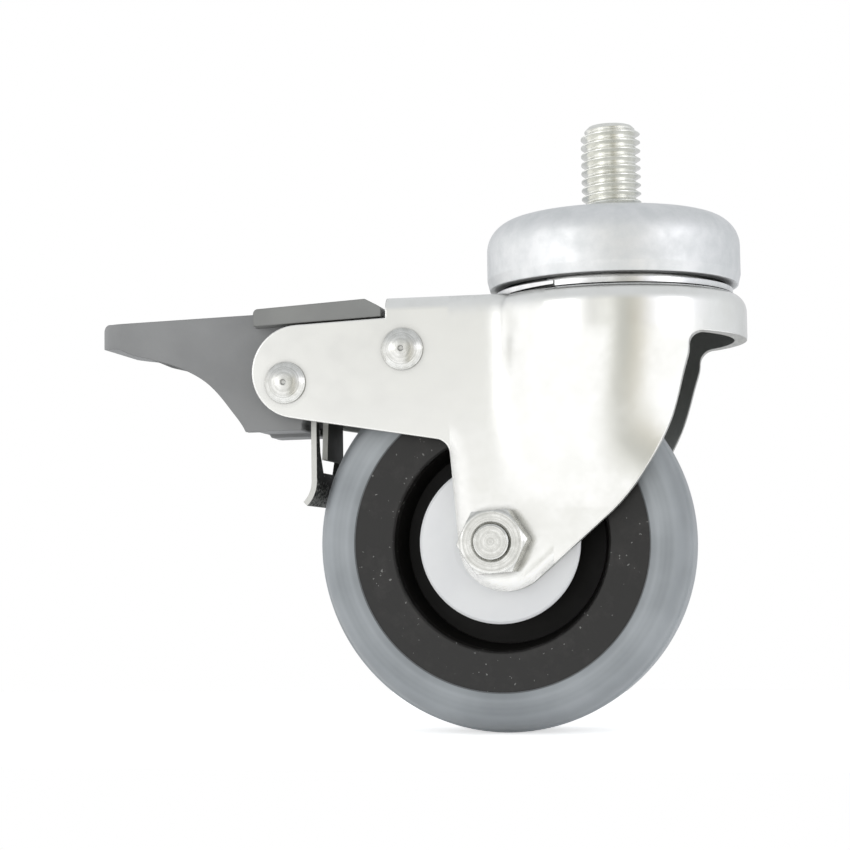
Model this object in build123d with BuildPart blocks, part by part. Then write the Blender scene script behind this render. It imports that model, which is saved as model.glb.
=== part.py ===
"""Swivel castor: a 75 mm rubber-tyred wheel in a pressed fork, M12 stem and total-lock pedal.

Frame: the origin is on the swivel axis, on top of the swivel cap.  +Z runs up the threaded
stem, the wheel trails towards -X, and the wheel turns about an axle along Y.  The axle nut
is on the -Y side.
"""
from build123d import *
from math import acos, atan2, cos, hypot, pi, radians, sin, tan
import os

os.makedirs("parts", exist_ok=True)

# ---------------------------------------------------------------- driving dimensions (mm)
# Wheel
wheel_diameter = 75.0
tyre_width = 25.0
tyre_depth = 8.3                # from the tread down to where the rubber meets the plastic
tyre_key_width = 4.0            # half width of the ridge that keys the tyre to its centre
tyre_key_height = 1.6
tyre_shoulder_radius = 5.0
tread_crown_drop = 0.7          # how far the tread falls from its middle to the shoulder
rim_face_inset = 0.6            # plastic rim face below the tyre's widest point
rim_wall = 7.9                  # plastic rim, from the tyre's seat in to the recess
rim_draft = 1.3                 # the recess narrows by this much down to the web
web_thickness = 7.0
hub_radius = 11.0
hub_guard_gap = 0.9             # hub's end to the thread guard

# Fork sheet
sheet = 2.5
leg_clearance = 1.8             # tyre side to leg
crown_overhang = 1.0            # the crown reaches this far out past the swivel cap
crown_edge_radius = 3.6
web_edge_radius = 2.8
crown_drop = 16.7               # cap top to crown top
skirt_height = 9.2
cylinder_height = 7.4           # straight part of the crown wall, above the tapering legs
tyre_clearance = 8.8            # crown underside to tyre
trail = 22.1                    # swivel axis to axle, along X
leg_taper_length = 35.0         # the crown's round wall flattens into the legs over this

# Fork outline, seen from the side
arm_end_radius = 9.3
arm_end_overrun = 2.1           # middle of the arm's round end, out past the wheel
arm_end_drop = 14.2             # crown top to the middle of the arm's round end
arm_step = 4.2                  # the arms' top edges lie this far below the web
web_end_inset = 16.0            # the web stops this far short of the wheel's back
leg_round_radius = 9.2
leg_round_offset = (1.8, -0.3)  # middle of the leg's round end, from the axle
arm_root_back = 31.2
arm_root_drop = 28.8            # crown top to the corner between arm and leg
arm_root_fillet = 3.2
leg_front_points = ((22.3, 5.5), (28.8, 13.2), (34.7, 24.2), (37.4, 33.5))  # from the axle
leg_front_slope = 42.0
skirt_corner = 18.7             # swivel axis to the middle of the corner under the skirt
skirt_corner_radius = 2.7

# Swivel head
stem_radius = 6.0
shank_radius = 6.4              # the kingpin inside the head, below the stem
stem_length = 18.4
stem_chamfer = 1.6
stem_head_radius = 9.5
stem_head_height = 2.5
stem_seat_depth = 1.5           # the kingpin's head bears this far below the crown's top
cap_height = 14.7
cap_flat_radius = 9.0
cap_dome_angle = 9.5            # how far the top has tipped over where the shoulder begins
cap_shoulder_radius = 6.1
cap_rim_width = 0.5             # the cap's lower edge draws in by this much
cap_rim_height = 2.0
ball_radius = 2.5
ball_circle_radius = 17.0
ball_drop = 1.0                 # the upper balls run this far under the cap's top sheet
ball_count = 16
groove_depth = 0.9              # of the upper balls' groove in the raised race
lower_ball_radius = 2.0
lower_ball_circle_radius = 12.0
lower_ball_gap = 0.1
lower_ball_count = 12
race_wall = 1.7                 # raised race, outside the upper balls' middle and radius
race_cap_gap = 1.7              # raised race to the inside of the cap
race_shoulder_radius = 3.0
race_bore_gap = 0.8             # kingpin to the hole in the raised race
lower_race_wall = 1.8           # lower race, outside the lower balls
lower_race_chamfer = 1.2
lower_race_sheet = 1.6
lock_ring_gap = 1.2             # lock ring to the wall round it
lock_ring_thickness = 2.0
lock_slot_count = 16
lock_slot_width = 2.8
lock_slot_depth = 3.2
dust_ring_inset = 1.6           # from the side of the swivel cap
dust_ring_width = 1.5
dust_ring_height = 1.1
dust_ring_split = 247.0         # degrees round from +X
dust_ring_slit = 0.3
dust_ring_lift = 0.4            # the end left of the slit lifts by this much
dust_ring_lift_length = 10.0

# Axle
bolt_radius = 4.0
bolt_core_radius = 3.4          # under the thread, inside the nut
bolt_tip_chamfer = 0.3
nut_across_flats = 12.0
nut_height = 6.5
nut_countersink = 0.5
bolt_head_height = 5.3
bolt_end = 0.8
sleeve_radius = 6.0
guard_radius = 15.9
guard_flat_width = 3.0          # flat middle of the guard, outside the sleeve
guard_thickness = 1.2
guard_cone = 0.9                # the guard's edge lies this much nearer the wheel

# Pedal, lock lever and brake leaf
rivet_radius = 3.0
rivet_head_radius = 4.15
rivet_head_height = 1.9
rivet_dimple_radius = 0.6
rivet_dimple_depth = 0.3
pedal_pivot_overrun = 4.5       # pedal rivet, out past the wheel
pedal_pivot_drop = 16.4         # crown top to the pedal rivet
lever_pivot_inset = 19.4        # lever rivet, in from the wheel's back
lever_pivot_drop = 10.5         # crown top to the lever rivet
pedal_half_width = 13.0
pedal_length = 41.1             # pedal rivet to the blade's tip
pedal_wall = 2.4
pedal_hub_radius = 5.2
pedal_tip_radius = 5.5
pedal_top_height = 14.4         # blade's top above the pedal rivet
pedal_neck_length = 7.0         # the body runs this far ahead of the rivet
pedal_foot_drop = 9.3           # pedal rivet to the body's underside
pedal_heel_length = 9.4         # the underside runs this far behind the rivet
pedal_belly_points = ((12.0, -5.4), (17.2, 0.6), (25.4, 4.9), (33.2, 7.0))
pedal_nose_points = ((36.4, 8.4), (40.5, 8.8), (41.1, 9.6), (41.1, 11.2))
pedal_brow_point = (38.1, 13.6)
pedal_core_height = 11.0        # inner roof at the tip, above the rivet
pedal_core_length = 10.0        # the blade's hollow starts this far behind the rivet
pedal_heel_roof = 4.6           # below the rivet, the heel is hollow too, back from the foot
rib_points = ((16.0, 2.5), (26.0, 7.4), (36.6, 9.6))
rib_half_width = 1.0
foot_height = 0.7               # the narrow foot hangs this far below the body
foot_half_width = 4.0
foot_length = 7.2               # foot, from the rivet back
foot_reach = 1.5                # and it stands this far ahead of the body
foot_gap = 1.05                 # foot to the lock lever's tongue, at rest
pad_length = 26.2
pad_front_gap = 1.0             # pad to the step in the arms' top edges
pad_height = 3.4
pad_rise = 1.4                  # the pad grows this much thicker towards the crown
pad_nose_length = 3.2
pad_nose_height = 1.9
pad_edge_radius = 1.0
pad_half_width = 16.4
pad_seat_gap = 0.45             # pad underside above the arms' top edges
leaf_thickness = 1.1
leaf_half_width = 11.3
leaf_gap = 1.4                  # leaf to tyre, measured along X where they are nearest
leaf_slope = 36.0
leaf_bend_radius = 5.0
leaf_bend_drop = 7.9            # pedal rivet to the start of the bend
leaf_touch_height = 11.4        # above the axle, where the leaf stands nearest the tyre
leaf_run_length = 15.0          # straight sloping end, riveted to the lock lever
leaf_lip_rise = 1.6             # the lip starts this far above the nearest place
leaf_lip_height = 4.6
leaf_lip_reach = 1.9            # and turns back by this much
window_head_half_width = 9.4
window_waist_half_width = 8.2
window_foot_half_width = 5.8
window_waist_rise = 4.0         # above the window's foot
window_foot_height = 3.4        # above the nearest place
window_head_height = 1.5        # above the start of the bend
tongue_thickness = 1.1
tongue_root_half_width = 5.8
tongue_tip_half_width = 6.9
tongue_gap = 2.6                # under the tongue's free end
leaf_rivet_radius = 1.5
leaf_rivet_head_radius = 2.6
leaf_rivet_head_height = 0.9
leaf_rivet_length_on = 8.5      # along the slope, from the end of the bend
leaf_rivet_spread = 5.0         # either side of the middle
lever_half_width = 8.0
lever_sheet = 2.2
lever_barrel_radius = 4.1
lever_seat_length = 17.0        # sloping plate that carries the leaf
lever_seat_gap = 5.0            # from the end of the leaf's bend
lever_plate_drop = 2.3          # crown's underside to the level plate
lever_plate_length = 9.0        # from the lever rivet to where the plate is level
lever_plate_root_width = 1.0    # the plate leaves the barrel this far ahead of the rivet
tooth_root_half_width = 2.5
tooth_width = 1.8
tooth_length = 2.2
tooth_reach = 0.2               # the tooth stands this far out past the lock ring
tooth_gap = 0.3                 # tooth tip below the lock ring, at rest

# Clearances
running_clearance = 0.05        # radial, between a shaft and what turns on it
press_clearance = 0.02
side_gap = 0.3                  # between faces that turn past each other

# ---------------------------------------------------------------- derived places
wheel_radius = wheel_diameter / 2
tyre_seat_radius = wheel_radius - tyre_depth
rim_inner_radius = tyre_seat_radius - rim_wall
race_radius = ball_circle_radius + ball_radius + race_wall
race_bore_radius = shank_radius + race_bore_gap
lower_race_radius = lower_ball_circle_radius + lower_ball_radius + lower_race_wall
lock_ring_radius = race_radius - sheet - lock_ring_gap
cap_radius = race_radius + race_cap_gap + sheet
crown_radius = cap_radius + crown_overhang
dust_ring_radius = cap_radius - dust_ring_inset
leg_inner = tyre_width / 2 + leg_clearance
leg_outer = leg_inner + sheet
crown_z = -crown_drop
crown_under = crown_z - sheet
axle_x = -trail
axle_z = crown_under - tyre_clearance - wheel_radius
wheel_back_x = axle_x - wheel_radius
skirt_z = crown_z - skirt_height
taper_z = crown_z - cylinder_height
flat_z = taper_z - leg_taper_length
arm_x = wheel_back_x - arm_end_overrun
arm_z = crown_z - arm_end_drop
arm_top_z = crown_z - arm_step
arm_joint_x = -(crown_radius**2 - leg_outer**2) ** 0.5
pedal_x = wheel_back_x - pedal_pivot_overrun
pedal_z = crown_z - pedal_pivot_drop
lever_x = wheel_back_x + lever_pivot_inset
lever_z = crown_z - lever_pivot_drop

wheel_plane = Plane(origin=(axle_x, 0, axle_z), x_dir=(1, 0, 0), z_dir=(0, 0, 1))
axle_axis = Axis((axle_x, 0, axle_z), (0, 1, 0))


def tangent_point(corner, centre, radius, turn):
    """Point where a line from corner touches a circle; turn is +1 or -1 for the side."""
    dx, dy = corner[0] - centre[0], corner[1] - centre[1]
    angle = atan2(dy, dx) + turn * acos(radius / hypot(dx, dy))
    return (centre[0] + radius * cos(angle), centre[1] + radius * sin(angle))


# ---------------------------------------------------------------- threaded stem
# One kingpin: its head carries the swivel head from below, its thread fastens the castor.
stack_z = crown_z - stem_seat_depth
with BuildPart() as threaded_stem:
    with BuildSketch(Plane.XZ):
        with BuildLine():
            Polyline(
                (0, stack_z - stem_head_height),
                (stem_head_radius - 0.8, stack_z - stem_head_height),
                (stem_head_radius, stack_z - stem_head_height + 0.8),
                (stem_head_radius, stack_z),
                (shank_radius, stack_z),
                (shank_radius, 0),
                (stem_radius, 0),
                (stem_radius, stem_length - stem_chamfer),
                (stem_radius - stem_chamfer, stem_length),
                (0, stem_length),
                close=True,
            )
        make_face()
    revolve(axis=Axis.Z)
threaded_stem.part.label = "threaded_stem"
export_step(threaded_stem.part, "parts/threaded_stem.step")


# ---------------------------------------------------------------- swivel cap
def cap_form(inset):
    """The domed cap as a solid of revolution, drawn in by inset on every side."""
    with BuildPart() as form:
        with BuildSketch(Plane.XZ):
            with BuildLine():
                tip = radians(cap_dome_angle)
                top, side = -inset, cap_radius - inset
                shoulder = cap_shoulder_radius - inset
                joint_x = side - shoulder * (1 - sin(tip))
                joint_z = top - (joint_x - cap_flat_radius) * tan(tip / 2)
                flat = Line((0, top), (cap_flat_radius, top))
                dome = TangentArc(flat @ 1, (joint_x, joint_z), tangent=(1, 0))
                turn = TangentArc(
                    dome @ 1, (side, joint_z - shoulder * cos(tip)), tangent=dome % 1
                )
                Polyline(
                    turn @ 1,
                    (side, -cap_height + cap_rim_height),
                    (side - cap_rim_width, -cap_height),
                    (0, -cap_height),
                    (0, top),
                )
            make_face()
        revolve(axis=Axis.Z)
    return form.part


ball_z = -sheet - ball_drop - ball_radius
cap_outside = cap_form(0)
cap_inside = cap_form(sheet)
with BuildPart() as swivel_cap:
    add(cap_outside)
    add(cap_inside, mode=Mode.SUBTRACT)
    with Locations((0, 0, -sheet)):
        Cylinder(
            radius=shank_radius + press_clearance,
            height=4 * sheet,
            mode=Mode.SUBTRACT,
        )
swivel_cap.part.label = "swivel_cap"
export_step(swivel_cap.part, "parts/swivel_cap.step")

# ---------------------------------------------------------------- balls and lower race
with BuildPart() as upper_balls:
    with Locations((0, 0, ball_z)):
        with PolarLocations(ball_circle_radius, ball_count):
            Sphere(radius=ball_radius)
upper_balls.part.label = "upper_balls"
export_step(upper_balls.part, "parts/upper_balls.step")

race_top = ball_z - ball_radius + groove_depth
race_under = race_top - sheet
lower_ball_z = race_under - lower_ball_gap - lower_ball_radius
with BuildPart() as lower_balls:
    with Locations((0, 0, lower_ball_z)):
        with PolarLocations(lower_ball_circle_radius, lower_ball_count):
            Sphere(radius=lower_ball_radius)
lower_balls.part.label = "lower_balls"
export_step(lower_balls.part, "parts/lower_balls.step")

lock_ring_top = stack_z + lock_ring_thickness
cup_floor = lower_ball_z - lower_ball_radius - running_clearance
cup_round = 0.3                 # corner between the cup's wall and its floor
with BuildPart() as lower_race:
    with BuildSketch(Plane.XZ):
        with BuildLine():
            Polyline(
                (shank_radius + press_clearance, lock_ring_top),
                (lower_race_radius - lower_race_chamfer, lock_ring_top),
                (lower_race_radius, lock_ring_top + lower_race_chamfer),
                (lower_race_radius, lower_ball_z),
                (lower_race_radius - lower_race_sheet, lower_ball_z),
                (lower_race_radius - lower_race_sheet - cup_round, cup_floor + cup_round),
                (shank_radius + press_clearance, cup_floor + cup_round),
                close=True,
            )
        make_face()
        with Locations((lower_ball_circle_radius, lower_ball_z)):
            Circle(lower_ball_radius + running_clearance, mode=Mode.SUBTRACT)
    revolve(axis=Axis.Z)
lower_race.part.label = "lower_race"
export_step(lower_race.part, "parts/lower_race.step")

# ---------------------------------------------------------------- swivel lock ring
with BuildPart() as lock_ring:
    with BuildSketch(Plane.XY.offset(stack_z)):
        Circle(lock_ring_radius)
        Circle(shank_radius + press_clearance, mode=Mode.SUBTRACT)
        with PolarLocations(lock_ring_radius, lock_slot_count):
            Rectangle(2 * lock_slot_depth, lock_slot_width, mode=Mode.SUBTRACT)
    extrude(amount=lock_ring_thickness)
lock_ring.part.label = "lock_ring"
export_step(lock_ring.part, "parts/lock_ring.step")


# ---------------------------------------------------------------- fork
leg_flat_end = 8.0              # how far forward the flat of each leg is drawn
arm_overlap = 3.0               # how far the arms' block runs into the crown's


def blend(share, first, second):
    """The value that lies share of the way from second to first."""
    return first * share + second * (1 - share)


def leg_section(level, bulge, inset):
    """Plan outline of both legs at one level: bulge 1 is the crown's circle, 0 is flat."""
    side = leg_outer - inset
    radius = crown_radius - inset
    joint_angle = acos(-(radius**2 - side**2) ** 0.5 / radius)
    corner_angle = radians(45)
    middle_angle = (joint_angle + corner_angle) / 2
    joint_x = blend(bulge, radius * cos(joint_angle), arm_joint_x)
    corner_x = blend(bulge, radius * cos(corner_angle), leg_flat_end)
    corner_y = blend(bulge, radius * sin(corner_angle), side)
    middle_x = blend(bulge, radius * cos(middle_angle), (arm_joint_x + leg_flat_end) / 2)
    middle_y = blend(bulge, radius * sin(middle_angle), side)
    nose_x = blend(bulge, radius, leg_flat_end)
    with BuildSketch(Plane.XY.offset(level)) as section:
        with BuildLine():
            if bulge > 0:
                Line((joint_x, side), (joint_x, -side))
                ThreePointArc((joint_x, -side), (middle_x, -middle_y), (corner_x, -corner_y))
                ThreePointArc((corner_x, -corner_y), (nose_x, 0), (corner_x, corner_y))
                ThreePointArc((corner_x, corner_y), (middle_x, middle_y), (joint_x, side))
            else:
                Polyline(
                    (joint_x, side),
                    (joint_x, -side),
                    (corner_x, -side),
                    (corner_x, side),
                    close=True,
                )
        make_face()
    return section.sketch


def leg_taper(inset):
    """The stretch where the crown's round wall eases into two flat legs."""
    steps = 6
    with BuildPart() as taper:
        for step in range(steps + 1):
            share = step / steps
            bulge = (1 + cos(pi * share)) / 2 if step < steps else 0
            add(leg_section(taper_z - share * leg_taper_length, bulge, inset))
        loft()
    return taper.part


def fork_form(inset, taper):
    """The pressing's envelope, drawn in by inset: crown, arms and legs as one solid."""
    side = leg_outer - inset
    top = crown_z - inset
    back = arm_x - arm_end_radius - 5
    foot = axle_z - 2 * leg_round_radius
    with BuildPart() as form:
        # arms and the flat of the legs: a long channel
        with BuildSketch(Plane.YZ.offset(back)):
            with Locations((0, top)):
                Rectangle(2 * side, top - foot, align=(Align.CENTER, Align.MAX))
            fillet(vertices().group_by(Axis.Y)[-1], max(web_edge_radius - inset, 0.3))
        extrude(amount=arm_joint_x + arm_overlap - back)
        # the flat of the legs, below the taper
        with BuildSketch(Plane.XY.offset(foot)):
            with Locations((arm_joint_x, 0)):
                Rectangle(
                    leg_flat_end - arm_joint_x, 2 * side, align=(Align.MIN, Align.CENTER)
                )
        extrude(amount=flat_z - foot)
        # crown: a drawn cup
        with BuildSketch(Plane.XZ):
            radius = crown_radius - inset
            edge = max(crown_edge_radius - inset, 0.5)
            with BuildLine():
                wall = Polyline((0, top), (0, taper_z), (radius, taper_z), (radius, top - edge))
                corner = RadiusArc(wall @ 1, (radius - edge, top), -edge)
                Line(corner @ 1, wall @ 0)
            make_face()
        revolve(axis=Axis.Z)
        add(taper)
    return form.part


def race_form(inset):
    """The raised race in the middle of the crown, drawn in by inset."""
    radius, top, base = race_radius - inset, race_top - inset, crown_z - inset
    shoulder = race_shoulder_radius - inset * 0.5
    with BuildPart() as form:
        with BuildSketch(Plane.XZ):
            with BuildLine():
                wall = Polyline((0, top), (0, base), (radius, base), (radius, top - shoulder))
                corner = RadiusArc(wall @ 1, (radius - shoulder, top), -shoulder)
                Line(corner @ 1, wall @ 0)
            make_face()
        revolve(axis=Axis.Z)
    return form.part


leg_round = (axle_x + leg_round_offset[0], axle_z + leg_round_offset[1])
arm_root = (-arm_root_back, crown_z - arm_root_drop)
leg_front = [(axle_x + x, axle_z + z) for x, z in leg_front_points]
web_end = (wheel_back_x + web_end_inset, arm_top_z)
arm_end = (arm_x, arm_z)

outside = fork_form(0, leg_taper(0))
inside = fork_form(sheet, leg_taper(sheet))
race_outside = race_form(0)
race_inside = race_form(sheet)
with BuildPart() as fork:
    add(outside)
    add(inside, mode=Mode.SUBTRACT)
    add(race_outside)
    add(race_inside, mode=Mode.SUBTRACT)
    # groove for the upper balls
    with BuildSketch(Plane.XZ):
        with Locations((ball_circle_radius, ball_z)):
            Circle(ball_radius + running_clearance)
    revolve(axis=Axis.Z, mode=Mode.SUBTRACT)
    # side outline of the pressing
    with BuildSketch(Plane.XZ):
        with BuildLine():
            arm_low = tangent_point(arm_root, arm_end, arm_end_radius, -1)
            arm_high = tangent_point(web_end, arm_end, arm_end_radius, 1)
            leg_back = tangent_point(arm_root, leg_round, leg_round_radius, 1)
            leg_low = tangent_point(leg_front[0], leg_round, leg_round_radius, -1)
            over = crown_z + 2 * crown_drop
            far = crown_radius + 5
            Polyline(arm_high, web_end, (web_end[0], over), (far, over), (far, skirt_z))
            Line((far, skirt_z), (skirt_corner, skirt_z))
            corner = RadiusArc(
                (skirt_corner, skirt_z),
                (skirt_corner - skirt_corner_radius, skirt_z - skirt_corner_radius),
                -skirt_corner_radius,
            )
            slope = radians(leg_front_slope)
            Spline(
                corner @ 1,
                *reversed(leg_front),
                tangents=((0, -1), (-cos(slope), -sin(slope))),
            )
            Line(leg_front[0], leg_low)
            ThreePointArc(
                leg_low,
                (leg_round[0], leg_round[1] - leg_round_radius),
                leg_back,
            )
            Polyline(leg_back, arm_root, arm_low)
            ThreePointArc(arm_low, (arm_x - arm_end_radius, arm_z), arm_high)
        make_face()
        fillet(vertices().sort_by_distance((*arm_root, 0))[0], arm_root_fillet)
    extrude(amount=2 * crown_radius, both=True, mode=Mode.INTERSECT)
    # kingpin, axle and rivet holes
    with Locations((0, 0, crown_z)):
        Cylinder(radius=race_bore_radius, height=4 * crown_drop, mode=Mode.SUBTRACT)
    with BuildSketch(Plane.XZ):
        with Locations((axle_x, axle_z)):
            Circle(bolt_radius + running_clearance)
        with Locations((pedal_x, pedal_z), (lever_x, lever_z)):
            Circle(rivet_radius + press_clearance)
    extrude(amount=2 * crown_radius, both=True, mode=Mode.SUBTRACT)
fork.part.label = "fork"
export_step(fork.part, "parts/fork.step")

# ---------------------------------------------------------------- dust ring
# A thin sprung ring on the crown, split, with one of its ends lifting a little.
with BuildPart() as dust_ring:
    with BuildSketch(Plane.XY.offset(crown_z)):
        Circle(dust_ring_radius)
        Circle(dust_ring_radius - dust_ring_width, mode=Mode.SUBTRACT)
    extrude(amount=dust_ring_height)
    split_angle = radians(dust_ring_split)
    split_x, split_y = dust_ring_radius * cos(split_angle), dust_ring_radius * sin(split_angle)
    with BuildSketch(Plane.XY.offset(crown_z)):
        with Locations((split_x, split_y)):
            Rectangle(4 * dust_ring_width, dust_ring_slit, rotation=dust_ring_split)
    extrude(amount=dust_ring_height, mode=Mode.SUBTRACT)
    with BuildSketch(Plane.XZ):
        with BuildLine():
            Polyline(
                (split_x, crown_z),
                (split_x, crown_z + dust_ring_lift),
                (split_x - dust_ring_lift_length, crown_z),
                close=True,
            )
        make_face()
    extrude(amount=dust_ring_radius, mode=Mode.SUBTRACT)
dust_ring.part.label = "dust_ring"
export_step(dust_ring.part, "parts/dust_ring.step")

# ---------------------------------------------------------------- axle
axle_far = Plane(origin=(axle_x, leg_outer, axle_z), x_dir=(1, 0, 0), z_dir=(0, 1, 0))
axle_near = Plane(origin=(axle_x, -leg_outer, axle_z), x_dir=(1, 0, 0), z_dir=(0, -1, 0))
hex_radius = nut_across_flats / 2 / cos(radians(30))
with BuildPart() as axle_bolt:
    with BuildSketch(axle_far):
        RegularPolygon(radius=hex_radius, side_count=6)
    extrude(amount=bolt_head_height)
    with BuildSketch(wheel_plane):
        with BuildLine():
            Polyline(
                (0, leg_outer),
                (0, leg_outer + bolt_head_height),
                (nut_across_flats / 2, leg_outer + bolt_head_height),
                (hex_radius + 0.05, leg_outer + bolt_head_height - 1.0),
                (hex_radius + 0.05, leg_outer),
                close=True,
            )
        make_face()
    revolve(axis=axle_axis, mode=Mode.INTERSECT)
    bolt_tip = -leg_outer - nut_height - bolt_end
    with BuildSketch(wheel_plane):
        with BuildLine():
            Polyline(
                (0, leg_outer),
                (bolt_radius, leg_outer),
                (bolt_radius, -leg_outer),
                (bolt_core_radius, -leg_outer),
                (bolt_core_radius, bolt_tip + bolt_tip_chamfer),
                (bolt_core_radius - bolt_tip_chamfer, bolt_tip),
                (0, bolt_tip),
                close=True,
            )
        make_face()
    revolve(axis=axle_axis)
axle_bolt.part.label = "axle_bolt"
export_step(axle_bolt.part, "parts/axle_bolt.step")

nut_turn = 4.0                  # degrees: the nut stopped a little off level
with BuildPart() as axle_nut:
    with BuildSketch(axle_near):
        RegularPolygon(radius=hex_radius, side_count=6, rotation=nut_turn)
        Circle(bolt_core_radius + press_clearance, mode=Mode.SUBTRACT)
    extrude(amount=nut_height)
    with BuildSketch(wheel_plane):
        with BuildLine():
            Polyline(
                (0, -leg_outer),
                (hex_radius + 0.05, -leg_outer),
                (hex_radius + 0.05, -leg_outer - nut_height + 0.9),
                (nut_across_flats / 2 - 0.2, -leg_outer - nut_height),
                (bolt_core_radius + nut_countersink, -leg_outer - nut_height),
                (bolt_core_radius, -leg_outer - nut_height + nut_countersink),
                (0, -leg_outer - nut_height + nut_countersink),
                close=True,
            )
        make_face()
    revolve(axis=axle_axis, mode=Mode.INTERSECT)
axle_nut.part.label = "axle_nut"
export_step(axle_nut.part, "parts/axle_nut.step")

sleeve_end = leg_inner - guard_thickness
with BuildPart() as axle_sleeve:
    with BuildSketch(wheel_plane):
        with Locations(((bolt_radius + sleeve_radius + running_clearance) / 2, 0)):
            Rectangle(sleeve_radius - bolt_radius - running_clearance, 2 * sleeve_end)
    revolve(axis=axle_axis)
axle_sleeve.part.label = "axle_sleeve"
export_step(axle_sleeve.part, "parts/axle_sleeve.step")


def thread_guard(side):
    """Shallow dished disc that keeps threads and hair off the axle; side is +1 or -1."""
    outer = leg_inner * side
    inner = (leg_inner - guard_thickness) * side
    cone = guard_cone * side
    with BuildPart() as guard:
        with BuildSketch(wheel_plane):
            with BuildLine():
                Polyline(
                    (bolt_radius + running_clearance, outer),
                    (sleeve_radius + guard_flat_width, outer),
                    (guard_radius - 0.5, outer - cone),
                    (guard_radius, outer - cone - 0.5 * side),
                    (guard_radius, inner - cone),
                    (sleeve_radius + guard_flat_width, inner),
                    (bolt_radius + running_clearance, inner),
                    close=True,
                )
            make_face()
        revolve(axis=axle_axis)
    return guard.part


for name, side in (("thread_guard_near", -1), ("thread_guard_far", 1)):
    guard = thread_guard(side)
    guard.label = name
    export_step(guard, f"parts/{name}.step")

# ---------------------------------------------------------------- wheel
rim_face = tyre_width / 2 - rim_face_inset
hub_face = leg_inner - guard_thickness - hub_guard_gap
web_face = web_thickness / 2
tyre_key = (
    (tyre_seat_radius, tyre_key_width),
    (tyre_seat_radius + tyre_key_height, tyre_key_width - 1.0),
    (tyre_seat_radius + tyre_key_height, 0),
)
with BuildPart() as wheel_centre:
    with BuildSketch(wheel_plane):
        with BuildLine():
            Polyline(
                (sleeve_radius + running_clearance, 0),
                (sleeve_radius + running_clearance, hub_face),
                (hub_radius, hub_face),
                (hub_radius + 0.6, web_face),
                (rim_inner_radius - rim_draft, web_face),
                (rim_inner_radius, rim_face - 0.4),
                (rim_inner_radius + 0.4, rim_face),
                (tyre_seat_radius, rim_face),
                *tyre_key,
                close=True,
            )
        make_face()
        mirror(about=Plane.XZ)
    revolve(axis=axle_axis)
wheel_centre.part.label = "wheel_centre"
export_step(wheel_centre.part, "parts/wheel_centre.step")

with BuildPart() as tyre:
    with BuildSketch(wheel_plane):
        with BuildLine():
            seat = Polyline(*reversed(tyre_key), (tyre_seat_radius, rim_face))
            tread = Spline(
                seat @ 1,
                (tyre_seat_radius + 3.0, tyre_width / 2),
                (wheel_radius - 2.4, tyre_width / 2 - 1.2),
                (wheel_radius - tread_crown_drop, tyre_width / 2 - tyre_shoulder_radius),
                (wheel_radius, 0),
                tangents=((1, 0.6), (0, -1)),
            )
            Line(tread @ 1, seat @ 0)
        make_face()
        mirror(about=Plane.XZ)
    revolve(axis=axle_axis)
tyre.part.label = "tyre"
export_step(tyre.part, "parts/tyre.step")


# ---------------------------------------------------------------- rivets
def rivet(x, z):
    """Solid rivet through both arms, with a low domed head on each side."""
    plane = Plane(origin=(x, 0, z), x_dir=(1, 0, 0), z_dir=(0, 0, 1))
    top = leg_outer + rivet_head_height
    with BuildPart() as pin:
        with BuildSketch(plane):
            with BuildLine():
                shank = Polyline(
                    (0, 0),
                    (rivet_radius, 0),
                    (rivet_radius, leg_outer),
                    (rivet_head_radius, leg_outer),
                    (rivet_head_radius, leg_outer + 0.35),
                )
                dome = ThreePointArc(
                    shank @ 1,
                    (rivet_head_radius * 0.66, leg_outer + rivet_head_height * 0.72),
                    (rivet_dimple_radius, top),
                )
                Polyline(
                    dome @ 1,
                    (rivet_dimple_radius - 0.2, top - rivet_dimple_depth),
                    (0, top - rivet_dimple_depth),
                    (0, 0),
                )
            make_face()
        revolve(axis=Axis((x, 0, z), (0, 1, 0)))
        mirror(about=Plane.XZ)
    return pin.part


for name, x, z in (("pedal_rivet", pedal_x, pedal_z), ("lever_rivet", lever_x, lever_z)):
    pin = rivet(x, z)
    pin.label = name
    export_step(pin, f"parts/{name}.step")

spacer_length = leg_inner - lever_half_width - side_gap
with BuildPart() as lever_spacers:
    for side in (-1, 1):
        middle = side * (leg_inner - spacer_length / 2)
        with BuildSketch(Plane(origin=(lever_x, middle, lever_z), z_dir=(0, 1, 0))):
            Circle(lever_barrel_radius)
            Circle(rivet_radius + running_clearance, mode=Mode.SUBTRACT)
        extrude(amount=spacer_length / 2, both=True)
lever_spacers.part.label = "lever_spacers"
export_step(lever_spacers.part, "parts/lever_spacers.step")

# ---------------------------------------------------------------- brake leaf
leaf_lowest = axle_z + leaf_touch_height
nearest_x = axle_x - (wheel_radius**2 - (leaf_lowest - axle_z) ** 2) ** 0.5
leaf_x = nearest_x - leaf_gap - leaf_thickness / 2
leaf_bend_z = pedal_z - leaf_bend_drop
slope = radians(leaf_slope)
bend_end = (
    leaf_x + leaf_bend_radius * (1 - sin(slope)),
    leaf_bend_z + leaf_bend_radius * cos(slope),
)
lip_z = leaf_lowest + leaf_lip_rise
window_foot = leaf_lowest + window_foot_height
window_head = leaf_bend_z + window_head_height
tongue_foot = window_foot + tongue_gap
leaf_face = Plane(origin=(leaf_x, 0, 0), x_dir=(0, 1, 0), z_dir=(1, 0, 0))
lever_plane = Plane(
    origin=(bend_end[0], 0, bend_end[1]), x_dir=(cos(slope), 0, sin(slope)), z_dir=(0, -1, 0)
)
slope_plane = Plane(
    origin=(bend_end[0], 0, bend_end[1]),
    x_dir=(cos(slope), 0, sin(slope)),
    z_dir=(-sin(slope), 0, cos(slope)),
)
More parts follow.
